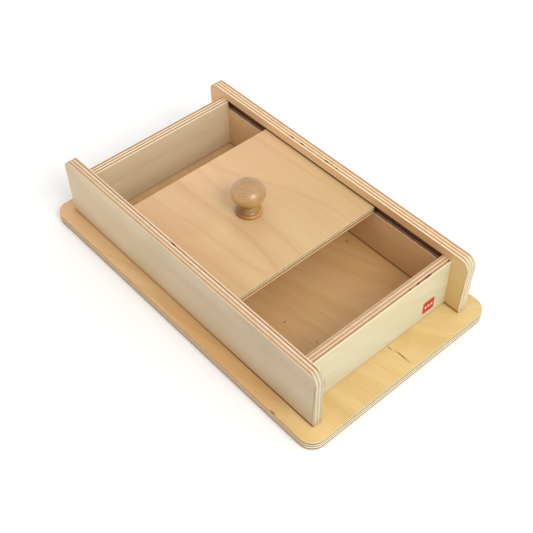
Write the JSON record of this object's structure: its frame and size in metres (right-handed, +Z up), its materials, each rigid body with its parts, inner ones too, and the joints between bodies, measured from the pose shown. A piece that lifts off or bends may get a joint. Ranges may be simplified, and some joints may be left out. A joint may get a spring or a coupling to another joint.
{
  "type": "sliding lid activity box",
  "caption": "Low birch plywood box on a wide base plate, with a grooved panel lid that slides between the ends by a turned knob.",
  "frame": {"origin": "middle of the base plate's underside, which is the plane that the box stands on", "axes": "+X along the box towards the labelled end, +Y towards the back side panel, +Z up"},
  "size_m": [0.317, 0.187, 0.0843],
  "materials": {
    "base_plywood": "clear satin lacquer on birch plywood",
    "side_plywood": "clear satin lacquer on birch plywood",
    "end_plywood": "clear satin lacquer on birch plywood",
    "lid_plywood": "clear satin lacquer on birch plywood",
    "turned_beech": "clear gloss lacquer on turned beech",
    "dowel_wood": "bare turned beech",
    "screw_steel": "zinc plated",
    "label_vinyl": "plain red vinyl sticker"
  },
  "bodies": {
    "box": {"base_plate": "base_plywood", "front_side_panel": "side_plywood", "back_side_panel": "side_plywood", "left_end_panel": "end_plywood", "right_end_panel": "end_plywood", "label": "label_vinyl", "dowel_front_left_low": "dowel_wood", "dowel_front_left_high": "dowel_wood", "dowel_back_left_low": "dowel_wood", "dowel_back_left_high": "dowel_wood", "dowel_front_right_low": "dowel_wood", "dowel_front_right_high": "dowel_wood", "dowel_back_right_low": "dowel_wood", "dowel_back_right_high": "dowel_wood", "base_screw_front_left": "screw_steel", "base_screw_front_middle": "screw_steel", "base_screw_front_right": "screw_steel", "base_screw_back_left": "screw_steel", "base_screw_back_middle": "screw_steel", "base_screw_back_right": "screw_steel", "base_screw_left_end_front": "screw_steel", "base_screw_left_end_back": "screw_steel", "base_screw_right_end_front": "screw_steel", "base_screw_right_end_back": "screw_steel"},
    "lid": {"lid_panel": "lid_plywood", "lid_knob": "turned_beech", "knob_screw": "screw_steel"}
  },
  "joints": [
    {"name": "lid_slide", "type": "slide", "parent": "box", "child": "lid", "axis": [1, 0, 0], "range_m": [-0.0488, 0.0698]}
  ]
}
